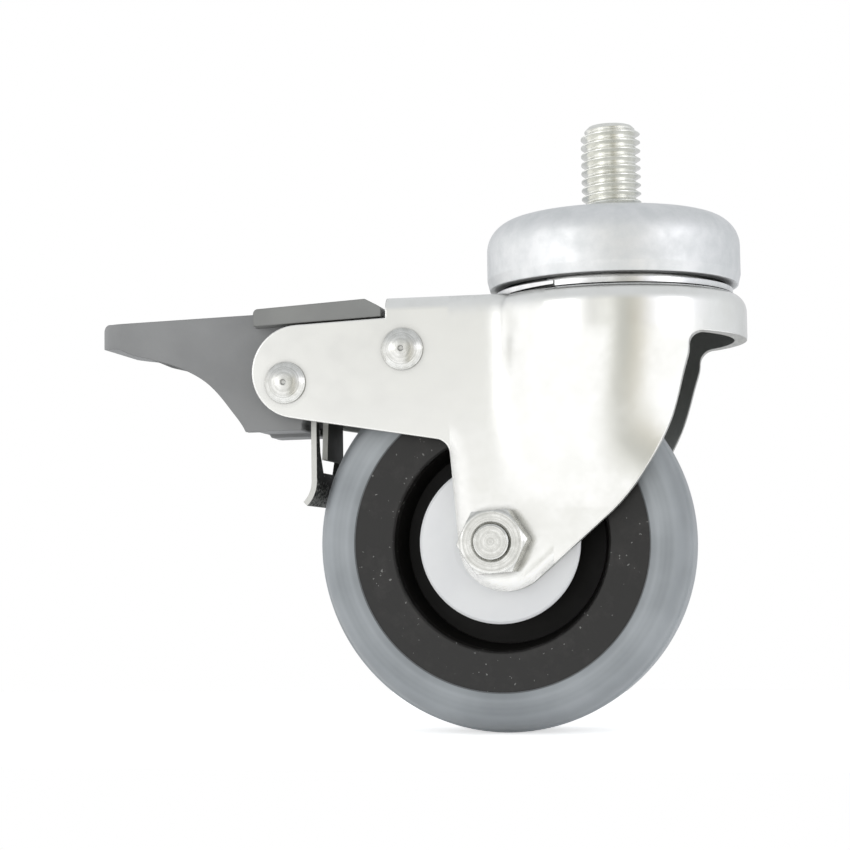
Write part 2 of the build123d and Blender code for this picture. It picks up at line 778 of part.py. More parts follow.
leaf_rivet_places = [
    (leaf_rivet_length_on, leaf_rivet_spread),
    (leaf_rivet_length_on, -leaf_rivet_spread),
]
with BuildPart() as brake_leaf:
    with BuildSketch(Plane.XZ):
        with BuildLine():
            upright = Line((leaf_x, leaf_bend_z), (leaf_x, lip_z))
            lip = (leaf_x - leaf_lip_reach, lip_z - leaf_lip_height)
            TangentArc(upright @ 1, lip, tangent=(0, -1))
            bend = TangentArc(upright @ 0, bend_end, tangent=(0, 1))
            PolarLine(bend @ 1, leaf_run_length, leaf_slope)
        trace(line_width=leaf_thickness)
    extrude(amount=leaf_half_width, both=True)
    # window, narrower towards its foot
    with BuildSketch(leaf_face):
        with BuildLine():
            Polyline(
                (window_head_half_width, window_head),
                (window_waist_half_width, window_foot + window_waist_rise),
                (window_foot_half_width, window_foot),
                (-window_foot_half_width, window_foot),
                (-window_waist_half_width, window_foot + window_waist_rise),
                (-window_head_half_width, window_head),
                close=True,
            )
        make_face()
    extrude(amount=leaf_thickness, both=True, mode=Mode.SUBTRACT)
    with BuildSketch(slope_plane):
        with Locations(*leaf_rivet_places):
            Circle(leaf_rivet_radius + press_clearance)
    extrude(amount=2 * leaf_thickness, both=True, mode=Mode.SUBTRACT)
brake_leaf.part.label = "brake_leaf"
export_step(brake_leaf.part, "parts/brake_leaf.step")

# ---------------------------------------------------------------- lock lever
# A curled plate on the lever rivet: the leaf is riveted to one end, which runs on down the
# leaf as a short tongue, the other carries the tooth that rises into the lock ring.
tooth_outer = -(lock_ring_radius + tooth_reach)
tooth_inner = tooth_outer + tooth_length
tooth_top = stack_z - tooth_gap
plate_top = crown_under - lever_plate_drop
plate_x = lever_x + lever_plate_length
tongue_x = leaf_x + (leaf_thickness + tongue_thickness) / 2
tongue_bend_radius = leaf_bend_radius - (leaf_thickness + tongue_thickness) / 2
tongue_bend_end = (
    leaf_x + leaf_bend_radius - tongue_bend_radius * sin(slope),
    leaf_bend_z + tongue_bend_radius * cos(slope),
)
with BuildPart() as lock_lever:
    # tongue down the wheel's side of the leaf, wider towards its tip
    with BuildSketch(Plane.XZ):
        with BuildLine():
            upright = Line((tongue_x, leaf_bend_z), (tongue_x, tongue_foot))
            bend = TangentArc(upright @ 0, tongue_bend_end, tangent=(0, 1))
            PolarLine(bend @ 1, lever_seat_gap + lever_sheet, leaf_slope)
        trace(line_width=tongue_thickness)
    extrude(amount=tongue_tip_half_width, both=True)
    with BuildSketch(leaf_face.offset(tongue_x - leaf_x)):
        for side in (-1, 1):
            with BuildLine():
                Polyline(
                    (side * tongue_tip_half_width, tongue_foot),
                    (side * tongue_root_half_width, leaf_bend_z),
                    (side * tongue_root_half_width, lever_z),
                    (side * (tongue_tip_half_width + 1), lever_z),
                    (side * (tongue_tip_half_width + 1), tongue_foot),
                    close=True,
                )
            make_face()
    extrude(amount=leaf_bend_radius + lever_seat_gap, both=True, mode=Mode.SUBTRACT)
    with BuildSketch(Plane.XZ):
        with Locations((lever_x, lever_z)):
            Circle(lever_barrel_radius)
        with BuildLine():
            Polyline(
                (lever_x + lever_plate_root_width, lever_z + lever_barrel_radius - 0.2),
                (plate_x, plate_top),
                (tooth_inner, plate_top),
                (tooth_inner, plate_top - lever_sheet),
                (plate_x + 0.4, plate_top - lever_sheet),
                (lever_x + 2 * lever_plate_root_width, lever_z + 0.6),
                close=True,
            )
        make_face()
    extrude(amount=lever_half_width, both=True)
    with BuildSketch(lever_plane):
        with Locations((lever_seat_gap, -leaf_thickness / 2)):
            Rectangle(lever_seat_length, lever_sheet, align=(Align.MIN, Align.MAX))
    extrude(amount=lever_half_width, both=True)
    with BuildSketch(Plane.XZ):
        with Locations((tooth_outer, plate_top - lever_sheet)):
            Rectangle(
                tooth_length, tooth_top - plate_top + lever_sheet, align=(Align.MIN, Align.MIN)
            )
    extrude(amount=tooth_width / 2, both=True)
    # the plate narrows towards the tooth
    with BuildSketch(Plane.XY.offset(plate_top - lever_sheet)):
        for side in (-1, 1):
            with BuildLine():
                Polyline(
                    (plate_x, side * (lever_half_width + 1)),
                    (plate_x, side * lever_half_width),
                    (tooth_outer, side * tooth_root_half_width),
                    (tooth_inner + 1, side * tooth_root_half_width),
                    (tooth_inner + 1, side * (lever_half_width + 1)),
                    close=True,
                )
            make_face()
    extrude(amount=tooth_top - plate_top + lever_sheet + 1, mode=Mode.SUBTRACT)
    with BuildSketch(Plane.XZ):
        with Locations((lever_x, lever_z)):
            Circle(rivet_radius + running_clearance)
    extrude(amount=2 * lever_half_width, both=True, mode=Mode.SUBTRACT)
    with BuildSketch(slope_plane):
        with Locations(*leaf_rivet_places):
            Circle(leaf_rivet_radius + press_clearance)
    extrude(amount=3 * lever_sheet, both=True, mode=Mode.SUBTRACT)
lock_lever.part.label = "lock_lever"
export_step(lock_lever.part, "parts/lock_lever.step")

with BuildPart() as leaf_rivets:
    grip = leaf_thickness / 2
    with BuildSketch(slope_plane.offset(-grip - lever_sheet)):
        with Locations(*leaf_rivet_places):
            Circle(leaf_rivet_radius)
    extrude(amount=lever_sheet + leaf_thickness)
    for level, rise in ((grip, 1), (-grip - lever_sheet, -1)):
        with BuildSketch(slope_plane.offset(level)):
            with Locations(*leaf_rivet_places):
                Circle(leaf_rivet_head_radius)
        extrude(amount=rise * leaf_rivet_head_height, taper=35)
leaf_rivets.part.label = "leaf_rivets"
export_step(leaf_rivets.part, "parts/leaf_rivets.step")

# ---------------------------------------------------------------- pedal
arm_top_slope = (web_end[1] - arm_high[1]) / (web_end[0] - arm_high[0])
pad_end = web_end[0] - pad_front_gap
pad_x = pad_end - pad_length


def over_arms(x):
    """Height of the pad's underside, a small gap above the arms' top edges."""
    return web_end[1] + (x - web_end[0]) * arm_top_slope + pad_seat_gap


def from_rivet(points):
    """Points given as distances behind and above the pedal rivet."""
    return [(pedal_x - back, pedal_z + up) for back, up in points]


blade_top = pedal_z + pedal_top_height
blade_tip_x = pedal_x - pedal_length
foot_x = tongue_x - tongue_thickness / 2 - foot_gap
heel_x = foot_x - foot_reach
foot_z = pedal_z - pedal_foot_drop
neck_x = pedal_x + pedal_neck_length
core_x = blade_tip_x + pedal_tip_radius
core_roof = blade_top - pedal_wall - 0.2
with BuildPart() as brake_pedal:
    with BuildSketch(Plane.XZ):
        with BuildLine():
            back = Polyline(
                (pad_x - side_gap, blade_top),
                (pad_x - side_gap, over_arms(pad_x - side_gap)),
                (neck_x, over_arms(neck_x)),
                (pedal_x + pedal_hub_radius, pedal_z + 2.0),
            )
            hub = ThreePointArc(
                back @ 1,
                (pedal_x + pedal_hub_radius * 1.06, pedal_z),
                (pedal_x + pedal_hub_radius * 0.9, pedal_z - 3.0),
            )
            heel = Polyline(
                hub @ 1,
                (heel_x, foot_z + 1.4),
                (heel_x, foot_z + 0.3),
                (heel_x - 0.3, foot_z),
                (pedal_x - pedal_heel_length, foot_z),
            )
            belly = Spline(
                heel @ 1, *from_rivet(pedal_belly_points), tangents=((-0.45, 1), (-1, 0.25))
            )
            nose = Polyline(belly @ 1, *from_rivet(pedal_nose_points))
            brow = TangentArc(nose @ 1, *from_rivet([pedal_brow_point]), tangent=(0, 1))
            Line(brow @ 1, back @ 0)
        make_face()
    extrude(amount=pedal_half_width, both=True)
    # rounded corners at the tip, seen from above
    with BuildSketch(Plane.XY.offset(foot_z - 1)):
        with BuildLine():
            Polyline(
                (blade_tip_x - 0.01, -pedal_half_width),
                (lever_x, -pedal_half_width),
                (lever_x, pedal_half_width),
                (blade_tip_x - 0.01, pedal_half_width),
                close=True,
            )
        make_face()
        fillet(vertices().group_by(Axis.X)[0], pedal_tip_radius)
    extrude(amount=blade_top - foot_z + 2, mode=Mode.INTERSECT)
    # narrower foot that pushes the tongue through the leaf's window
    with BuildSketch(Plane.XZ):
        with BuildLine():
            Polyline(
                (pedal_x - foot_length, foot_z + 2.0),
                (pedal_x - foot_length, foot_z - foot_height + 1.0),
                (pedal_x - foot_length + 0.7, foot_z - foot_height),
                (foot_x - 0.3, foot_z - foot_height + 0.1),
                (foot_x, foot_z - foot_height + 0.4),
                (foot_x, foot_z + 0.6),
                (heel_x, foot_z + 1.2),
                close=True,
            )
        make_face()
    extrude(amount=foot_half_width, both=True)
    # cored-out underside of the blade and heel, with a stiffening rib down the middle
    with BuildSketch(Plane.XZ):
        with BuildLine():
            Polyline(
                (core_x, pedal_z + pedal_core_height),
                (pedal_x - pedal_core_length, core_roof),
                (pedal_x - pedal_core_length, pedal_z - pedal_heel_roof),
                (pedal_x - foot_length, pedal_z - pedal_heel_roof),
                (pedal_x - foot_length, foot_z - 5.0),
                (core_x, foot_z - 5.0),
                close=True,
            )
        make_face()
    extrude(amount=pedal_half_width - pedal_wall, both=True, mode=Mode.SUBTRACT)
    with BuildSketch(Plane.XZ):
        with BuildLine():
            Polyline(
                (core_x - 1.0, pedal_z + pedal_core_height),
                (pedal_x - pedal_core_length + 0.5, core_roof),
                (pedal_x - pedal_core_length + 0.5, pedal_z - 5.0),
                *from_rivet(rib_points),
                close=True,
            )
        make_face()
    extrude(amount=rib_half_width, both=True)
    with BuildSketch(Plane.XZ):
        with Locations((pedal_x, pedal_z)):
            Circle(rivet_radius + running_clearance)
    extrude(amount=2 * pedal_half_width, both=True, mode=Mode.SUBTRACT)
brake_pedal.part.label = "brake_pedal"
export_step(brake_pedal.part, "parts/brake_pedal.step")

with BuildPart() as pedal_pad:
    with BuildSketch(Plane.XZ):
        with BuildLine():
            nose_x = pad_end - pad_nose_length
            nose_z = over_arms(pad_x) + pad_height + pad_rise * (nose_x - pad_x) / pad_length
            Polyline(
                (pad_x, over_arms(pad_x)),
                (pad_x, over_arms(pad_x) + pad_height),
                (nose_x, nose_z),
                (pad_end, over_arms(pad_end) + pad_nose_height),
                (pad_end, over_arms(pad_end)),
                close=True,
            )
        make_face()
        fillet(vertices().sort_by(Axis.Y)[-3:], pad_edge_radius)
    extrude(amount=pad_half_width, both=True)
pedal_pad.part.label = "pedal_pad"
export_step(pedal_pad.part, "parts/pedal_pad.step")
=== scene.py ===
# %% [markdown]
# # A swivel castor, dressed for its picture
#
# The object is a 75 mm castor: a grey rubber tyre on a black plastic centre, a pressed steel
# fork with bright zinc on it, a domed head with a threaded stem, and a grey brake pedal.
# The solids come ready made and stay where they are. This notebook gives them their finishes,
# cuts the real thread on the stem, and sets up a camera, a floor and soft light.

# %% Load the solids and remember their box
from math import cos, pi, radians, sin

import bmesh
import bpy
from mathutils import Matrix, Vector


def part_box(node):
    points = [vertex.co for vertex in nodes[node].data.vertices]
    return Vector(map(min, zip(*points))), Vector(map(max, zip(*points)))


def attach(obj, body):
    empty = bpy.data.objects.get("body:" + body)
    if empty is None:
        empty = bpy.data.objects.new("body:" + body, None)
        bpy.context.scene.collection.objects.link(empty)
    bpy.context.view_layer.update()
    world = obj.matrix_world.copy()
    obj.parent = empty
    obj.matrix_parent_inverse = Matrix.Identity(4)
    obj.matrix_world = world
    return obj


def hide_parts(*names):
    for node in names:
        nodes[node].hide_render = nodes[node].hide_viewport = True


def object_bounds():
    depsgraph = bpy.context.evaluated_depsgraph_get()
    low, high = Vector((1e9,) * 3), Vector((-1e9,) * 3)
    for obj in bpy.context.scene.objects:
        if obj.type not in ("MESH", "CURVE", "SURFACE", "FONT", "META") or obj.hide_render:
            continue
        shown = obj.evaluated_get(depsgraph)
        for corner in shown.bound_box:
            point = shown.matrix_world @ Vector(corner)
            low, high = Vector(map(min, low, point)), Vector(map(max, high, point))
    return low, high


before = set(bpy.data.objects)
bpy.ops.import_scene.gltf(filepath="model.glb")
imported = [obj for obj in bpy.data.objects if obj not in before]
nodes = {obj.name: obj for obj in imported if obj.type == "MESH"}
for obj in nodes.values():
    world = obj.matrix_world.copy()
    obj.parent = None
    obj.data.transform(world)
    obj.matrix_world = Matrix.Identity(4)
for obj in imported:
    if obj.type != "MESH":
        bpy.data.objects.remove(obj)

MM = 0.001
cad_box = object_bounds()
print("CAD box, mm:", [[round(value / MM, 1) for value in corner] for corner in cad_box])

# %% [markdown]
# ## The camera
#
# A long lens, 81 mm on a 36 mm sensor, keeps the proportions calm; a short one close by would
# swell the wheel and shrink the stem. It stands a little to the right of the wheel, low down,
# and looks slightly up, so the underside of the skirt shows.

# %% Camera
CAMERA_PLACE = Vector((36.8, -382.8, -70.8)) * MM
CAMERA_AZIMUTH, CAMERA_PITCH, CAMERA_ROLL = 11.23, 4.36, -0.82     # degrees
LENS, SENSOR = 80.93, 36.0                                         # mm
NEAREST = 10.0                                                     # mm; nothing closer is drawn

camera_data = bpy.data.cameras.new("camera")
camera_data.lens = LENS
camera_data.sensor_width = SENSOR
camera_data.sensor_fit = "HORIZONTAL"
camera_data.clip_start = NEAREST * MM
camera = bpy.data.objects.new("camera", camera_data)
bpy.context.scene.collection.objects.link(camera)
camera.matrix_world = (
    Matrix.Translation(CAMERA_PLACE)
    @ Matrix.Rotation(radians(CAMERA_AZIMUTH), 4, "Z")
    @ Matrix.Rotation(radians(90 + CAMERA_PITCH), 4, "X")
    @ Matrix.Rotation(radians(CAMERA_ROLL), 4, "Z")
)
bpy.context.scene.camera = camera
print("camera stands at, mm:", [round(value / MM, 1) for value in CAMERA_PLACE])


# %% [markdown]
# ## Helpers for materials
#
# Every finish below is a small graph of nodes. It could be drawn by hand in the Shader Editor,
# but as code it can take its sizes from the solids. `add` puts one node in a graph, with its
# settings and what feeds it. `linear` turns a colour as a screen shows it into the linear
# numbers that a shader works with.

# %% Colours and nodes
MIX_A, MIX_B, MIX_COLOUR = 6, 7, 2     # a Mix node's colour sockets, going in and coming out
# What a Map Range node needs to spread most, or nearly all, of a noise over 0 to 1.
MOST = {"From Min": 0.36, "From Max": 0.64}
NEARLY_ALL = {"From Min": 0.3, "From Max": 0.7}


def linear(code):
    """sRGB hex, such as "9AA2A6", to a linear RGBA colour."""
    channels = [int(code[i:i + 2], 16) / 255 for i in (0, 2, 4)]
    curve = [c / 12.92 if c <= 0.04045 else ((c + 0.055) / 1.055) ** 2.4 for c in channels]
    return (*curve, 1.0)


def add(tree, kind, inputs=None, **settings):
    """Adds one node. An input is a value, a socket, or a node whose first output feeds it."""
    node = tree.nodes.new(kind)
    for name, value in settings.items():
        setattr(node, name, value)
    for name, value in (inputs or {}).items():
        if isinstance(value, bpy.types.Node):
            value = value.outputs[0]
        if isinstance(value, bpy.types.NodeSocket):
            tree.links.new(value, node.inputs[name])
        else:
            node.inputs[name].default_value = value
    return node


# %% [markdown]
# `start_material` makes what every finish begins with. Its coordinates are in metres and stay
# with a piece when it turns, so one divided by a size in metres is the scale of a pattern of
# that size. `over` lays a colour or a number over what a socket has, as through a stencil.

# %% Start a material, paint over it, put it on
def start_material(name, **shader):
    """Starts a material: gives it, its tree, its shader's inputs and a point's place in metres."""
    material = bpy.data.materials.new(name)
    material.use_nodes = True
    tree = material.node_tree
    tree.nodes.clear()
    bsdf = add(tree, "ShaderNodeBsdfPrincipled", shader, name="shader")
    add(tree, "ShaderNodeOutputMaterial", {"Surface": bsdf})
    place = add(tree, "ShaderNodeTexCoord").outputs["Object"]
    return material, tree, bsdf.inputs, place


def over(tree, socket, mask, value):
    """Where mask is 1, a socket gets value in place of what feeds it now."""
    if isinstance(value, float):
        value = (value, value, value, 1)
    before = socket.links[0].from_socket
    mix = add(tree, "ShaderNodeMix", {0: mask, MIX_A: before, MIX_B: value}, data_type="RGBA")
    tree.links.new(mix.outputs[MIX_COLOUR], socket)


def wear(material, *names):
    """Puts a finish on the named solids."""
    for name in names:
        for slot in nodes[name].material_slots:
            slot.material = material
    print(material.name, "on", ", ".join(names))


# %% [markdown]
# ## Bright zinc
#
# The steel pieces are electroplated with zinc and dipped in a clear passivate. The plate is a
# metal, so its colour is the colour of its reflections. One noise in the roughness would make
# it look like paint. Barrel plating leaves three things for the eye: faint clouds a few
# millimetres across where the film is thicker, a fine pebbling from pieces knocking together,
# and a slow waviness from the press tool under it all. One function builds all the zinc,
# because the pieces differ only in how strong each of these is. Sheared edges are a little
# rounded, which the Bevel node shows without touching the solid, and corners get painted
# shade, a darker colour where the Ambient Occlusion node finds them close to other faces.

# %% A recipe for zinc plate
PEBBLE, WAVE = 0.7, 5.0                # mm; true pebbling is 0.2 mm, too fine to show here
CREVICE = 1.3                          # mm; how far out of a corner the painted shade reaches


def zinc(name, plain, tinted, shine, cloud, edge, pebbled, waved, corner_shade=0.8):
    """Zinc plate from colour plain to tinted, in clouds of cloud mm.

    shine is its least and most roughness, edge the radius of its edges in mm, and pebbled and
    waved are the heights of its two textures in mm. The last darkens corners as painted shade.
    """
    material, tree, bsdf, place = start_material(name, Metallic=1.0)
    clouds = add(tree, "ShaderNodeTexNoise", {
        "Vector": place, "Scale": 1 / (cloud * MM), "Detail": 4.0, "Roughness": 0.6,
    })
    film = add(tree, "ShaderNodeMapRange", {"Value": clouds, **MOST})
    colour = add(tree, "ShaderNodeMix", {
        0: film, MIX_A: linear(plain), MIX_B: linear(tinted),
    }, data_type="RGBA").outputs[MIX_COLOUR]
    # painted shade: the Ambient Occlusion node darkens the colour in corners and crevices
    crevice = add(tree, "ShaderNodeAmbientOcclusion", {
        "Color": colour, "Distance": CREVICE * MM,
    }, samples=6)
    corner_shaded = add(tree, "ShaderNodeMix", {
        0: corner_shade, MIX_A: colour, MIX_B: crevice,
    }, data_type="RGBA")
    dullness = add(tree, "ShaderNodeMapRange", {
        "Value": film, "To Min": shine[0], "To Max": shine[1],
    })
    waves = add(tree, "ShaderNodeTexNoise", {
        "Vector": place, "Scale": 1 / (WAVE * MM), "Detail": 1.0,
    })
    pebbles = add(tree, "ShaderNodeTexNoise", {
        "Vector": place, "Scale": 1 / (PEBBLE * MM), "Detail": 2.0,
    })
    rounded = add(tree, "ShaderNodeBevel", {"Radius": edge * MM}, samples=6, name="edges")
    rolling = add(tree, "ShaderNodeBump", {
        "Height": waves, "Distance": waved * MM, "Normal": rounded,
    })
    rough = add(tree, "ShaderNodeBump", {
        "Height": pebbles, "Distance": pebbled * MM, "Normal": rolling,
    })
    tree.links.new(corner_shaded.outputs[MIX_COLOUR], bsdf["Base Color"])
    tree.links.new(dullness.outputs[0], bsdf["Roughness"])
    tree.links.new(rough.outputs[0], bsdf["Normal"])
    return material


# %% [markdown]
# ## The fork, the cap and their rings
#
# The fork was pressed from 2.5 mm sheet, so its flats are the smoothest zinc here and mirror
# the nut beside them. The inner faces get painted shade: a darker, duller finish. Plating reaches
# poorly into a hollow, so the inner faces are dark and
# dull. The sheared edges are grey and drawn across by the shear. The solid is one piece with
# one material, so both are found from where a face looks: the dot product of its place and its
# normal is negative on inner faces, and sheared edges have no part of their normal along the
# axle.

# %% Where the fork's faces look
LIFT = 10.0                            # mm; keeps the crown's top out and takes its underside in
ALONG_AXLE, DOWNWARD = 0.03, -0.05     # most that a sheared edge's normal has along Y and Z
CROWN_DEPTH = 5.5                      # mm; sheared edges all lie lower than this in the fork
CROWN_UNDER_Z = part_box("fork")[1][2] - CROWN_DEPTH * MM


def inner_faces(tree, coords):
    """Node that gives 1 on faces that look into the fork, else 0."""
    aside = add(tree, "ShaderNodeVectorMath", {0: coords["Object"], 1: (1, 1, 0)},
                operation="MULTIPLY")
    lifted = add(tree, "ShaderNodeVectorMath", {0: aside, 1: (0, 0, LIFT * MM)},
                 operation="ADD")
    outward = add(tree, "ShaderNodeVectorMath", {0: lifted, 1: coords["Normal"]},
                  operation="DOT_PRODUCT").outputs["Value"]
    return add(tree, "ShaderNodeMath", {0: outward, 1: 0.0}, operation="LESS_THAN")


def sheared_edges(tree, coords):
    """Node that gives 1 on the edges that the shear left, else 0."""
    place = add(tree, "ShaderNodeSeparateXYZ", {0: coords["Object"]}).outputs
    facing = add(tree, "ShaderNodeSeparateXYZ", {0: coords["Normal"]}).outputs
    across = add(tree, "ShaderNodeMath", {0: facing["Y"], 1: 0.0, 2: ALONG_AXLE},
                 operation="COMPARE")
    down = add(tree, "ShaderNodeMath", {0: facing["Z"], 1: DOWNWARD}, operation="LESS_THAN")
    low = add(tree, "ShaderNodeMath", {0: place["Z"], 1: CROWN_UNDER_Z}, operation="LESS_THAN")
    both = add(tree, "ShaderNodeMath", {0: down, 1: low}, operation="MULTIPLY")
    return add(tree, "ShaderNodeMath", {0: across, 1: both}, operation="MULTIPLY")


print("sheared edges lie below, mm:", round(CROWN_UNDER_Z / MM, 2))

# %% [markdown]
# Between arm and crown the sheet bends gently, where the solid has a crease. A rounder solid
# could be modelled, but at this size a wide Bevel radius looks the same.

# %% Where the sheet bends
BEND_RADIUS, BEND_FROM, BEND_TO = 5.0, -31.0, -11.0     # mm, the last two along X


def bent_sheet(tree, coords):
    """Node that gives 1 where the sheet bends from the arm into the crown, else 0."""
    place = add(tree, "ShaderNodeSeparateXYZ", {0: coords["Object"]}).outputs
    after = add(tree, "ShaderNodeMath", {0: place["X"], 1: BEND_FROM * MM},
                operation="GREATER_THAN")
    ahead = add(tree, "ShaderNodeMath", {0: place["X"], 1: BEND_TO * MM},
                operation="LESS_THAN")
    return add(tree, "ShaderNodeMath", {0: after, 1: ahead}, operation="MULTIPLY")


print("the bend is, mm:", BEND_TO - BEND_FROM, "long")

# %% Zinc on the fork
SHEAR_LINE = 0.5                        # mm; true lines of 0.1 mm are too fine to show here
INNER_ROUGHNESS, SHEARED_ROUGHNESS = 0.5, 0.42
INNER_METALLIC = 0.4                    # less of a mirror, as part of the inner faces' painted shade


def fork_zinc():
    material = zinc("bright zinc on pressed steel", "F0F0EE", "EBEBE8", shine=(0.17, 0.24),
                    cloud=6.0, edge=0.45, pebbled=0.003, waved=0.02)
    tree = material.node_tree
    bsdf = tree.nodes["shader"].inputs
    coords = add(tree, "ShaderNodeTexCoord").outputs
    inner = inner_faces(tree, coords)
    # painted shade: the inner faces are given a darker colour, more roughness and less metal
    over(tree, bsdf["Base Color"], inner, linear("A0A2A0"))
    over(tree, bsdf["Roughness"], inner, INNER_ROUGHNESS)
    metallic_in_shade = add(tree, "ShaderNodeMapRange", {
        "Value": inner, "To Min": 1.0, "To Max": INNER_METALLIC,
    })
    tree.links.new(metallic_in_shade.outputs[0], bsdf["Metallic"])
    # a tenth of the place along the axle draws the lines out ten times as long
    drawn = add(tree, "ShaderNodeVectorMath", {0: coords["Object"], 1: (1, 0.1, 1)},
                operation="MULTIPLY")
    lines = add(tree, "ShaderNodeTexNoise", {
        "Vector": drawn, "Scale": 1 / (SHEAR_LINE * MM), "Detail": 2.0,
    })
    shear_grey = add(tree, "ShaderNodeMix", {
        0: lines, MIX_A: linear("8C8D89"), MIX_B: linear("DADAD5"),
    }, data_type="RGBA")
    sheared = sheared_edges(tree, coords)
    over(tree, bsdf["Base Color"], sheared, shear_grey.outputs[MIX_COLOUR])
    over(tree, bsdf["Roughness"], sheared, SHEARED_ROUGHNESS)
    edge_radius = tree.nodes["edges"].inputs["Radius"]
    radius = add(tree, "ShaderNodeMapRange", {
        "Value": bent_sheet(tree, coords),
        "To Min": edge_radius.default_value, "To Max": BEND_RADIUS * MM,
    })
    tree.links.new(radius.outputs[0], edge_radius)
    return material


wear(fork_zinc(), "fork")

# %% [markdown]
# The cap was drawn deeper, which stretched its skin: it is cloudier, duller and a little
# bluer. The dust ring is soft strip and stays bright. The recipe gives both with other
# numbers.

# %% Zinc on the cap and the dust ring
wear(zinc("clouded zinc on a deep drawing", "E7E8E9", "DDDFE0", shine=(0.44, 0.56),
          cloud=4.0, edge=0.4, pebbled=0.012, waved=0.03), "swivel_cap")
wear(zinc("bright zinc on strip", "F0F0F0", "E4E5E6", shine=(0.2, 0.3),
          cloud=3.0, edge=0.2, pebbled=0.004, waved=0.01), "dust_ring")

# %% [markdown]
# ## Fasteners and inner steel
#
# Nut, bolt and rivets are cold headed and then plated in a barrel among thousands of others,
# so they are more pebbled. Dies and cutters turn round the middle of each, which leaves fine
# rings on nut, bolt and rivet heads. A stretched highlight could stand for such rings, but on
# heads this small single rings catch the eye. So they are drawn by distance from the piece's
# own axis, which two Vector Math nodes measure, and 0.4 mm apart, because true rings of 0.1 mm
# are too fine to show here.

# %% Distance from an axis
def middle_of(name):
    """Middle of a solid's box, with nothing along the axle."""
    low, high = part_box(name)
    return ((low[0] + high[0]) / 2, 0, (low[2] + high[2]) / 2)


def from_axis(tree, place, middle):
    """Socket that gives a point's distance from the line along Y through middle, in metres."""
    flat = add(tree, "ShaderNodeVectorMath", {0: place, 1: (1, 0, 1)}, operation="MULTIPLY")
    away = add(tree, "ShaderNodeVectorMath", {0: flat, 1: middle}, operation="DISTANCE")
    return away.outputs["Value"]


print("nut's middle, mm:", [round(value / MM, 2) for value in middle_of("axle_nut")])

# %% Zinc on nut, bolt and rivets
RING, RING_DEPTH = 0.4, 0.02            # mm
RING_SHADE = 0.35                       # how far the darkest ring goes towards grey


def headed(name, corner_shade):
    return zinc(name, "EAEAE7", "D4D4D0", shine=(0.22, 0.32), cloud=1.6, edge=0.25,
                pebbled=0.018, waved=0.012, corner_shade=corner_shade)


def turned(name, corner_shade):
    """Zinc with turning rings round the middle of a solid's box."""
    material = headed("zinc on turned steel, " + name, corner_shade)
    tree = material.node_tree
    bsdf = tree.nodes["shader"].inputs
    place = add(tree, "ShaderNodeTexCoord").outputs["Object"]
    rings = add(tree, "ShaderNodeTexNoise", {
        "W": from_axis(tree, place, middle_of(name)), "Scale": 1 / (RING * MM), "Detail": 2.0,
    }, noise_dimensions="1D")
    ringed = add(tree, "ShaderNodeBump", {
        "Height": rings, "Distance": RING_DEPTH * MM,
        "Normal": bsdf["Normal"].links[0].from_socket,
    })
    tree.links.new(ringed.outputs[0], bsdf["Normal"])
    shade = add(tree, "ShaderNodeMapRange", {
        "Value": rings, "From Min": 0.4, "From Max": 0.65, "To Max": RING_SHADE,
    })
    over(tree, bsdf["Base Color"], shade, linear("9A9A96"))
    return material


# the number is how strongly painted shade darkens the corners round each piece
for name, corner_shade in (("axle_bolt", 0.2), ("axle_nut", 0.2),
                    ("pedal_rivet", 0.9), ("lever_rivet", 0.9)):
    wear(turned(name, corner_shade), name)
wear(headed("zinc on cold headed steel", corner_shade=0.6), "leaf_rivets")

# %% [markdown]
# The races, the lock ring and the spacers sit out of sight and were hardened first: their zinc
# is grey and dull. The balls are bare, polished steel. At such sizes the recipe for zinc does
# for them too, with nearly no texture and a low roughness.

# %% Hardened steel and balls
wear(zinc("dull zinc on hardened steel", "A9AAA8", "8E8F8D", shine=(0.34, 0.48),
          cloud=2.5, edge=0.25, pebbled=0.01, waved=0.01),
     "lock_ring", "lower_race", "lever_spacers", "axle_sleeve")
wear(zinc("polished ball steel", "D0D0D2", "C4C4C6", shine=(0.08, 0.12),
          cloud=3.0, edge=0.05, pebbled=0.0005, waved=0.001),
     "upper_balls", "lower_balls")

# %% [markdown]
# ## Spring steel
#
# The brake leaf and the lock lever were stamped from strip that was already hardened and
# blackened. That black is an oxide, not a metal, so the faces have a base colour and a weak
# gloss, and their edges, cut afterwards, are bare bright steel. The leaf's lip has been rubbed
# by the tyre, which wore the black off in specks. Both could be painted on by hand, but masks
# made from the place and the normal need no map and follow the solid.

# %% The rubbed lip
LIP_TOP, LIP_END = -51.5, -56.0        # mm, along Z
LIP_WEAR, WORN_OVER = 0.2, 0.66        # what wear adds to the specks' noise, and where it shows


def lip_worn(tree, place, specks):
    """Node that gives 1 where the black is rubbed off the leaf's lip, else 0."""
    level = add(tree, "ShaderNodeSeparateXYZ", {0: place}).outputs["Z"]
    lip = add(tree, "ShaderNodeMapRange", {
        "Value": level, "From Min": LIP_TOP * MM, "From Max": LIP_END * MM, "To Max": LIP_WEAR,
    })
    rubbed = add(tree, "ShaderNodeMath", {0: specks, 1: lip}, operation="ADD")
    return add(tree, "ShaderNodeMath", {0: rubbed, 1: WORN_OVER}, operation="GREATER_THAN")


print("the lip is, mm:", LIP_TOP - LIP_END, "high")

# %% Blackened spring steel
SPECK, CLOUD, SPECK_DEPTH, EDGE = 0.6, 3.0, 0.012, 0.15     # mm
CUT_OVER = 0.9                         # least that a cut edge's normal has along the axle


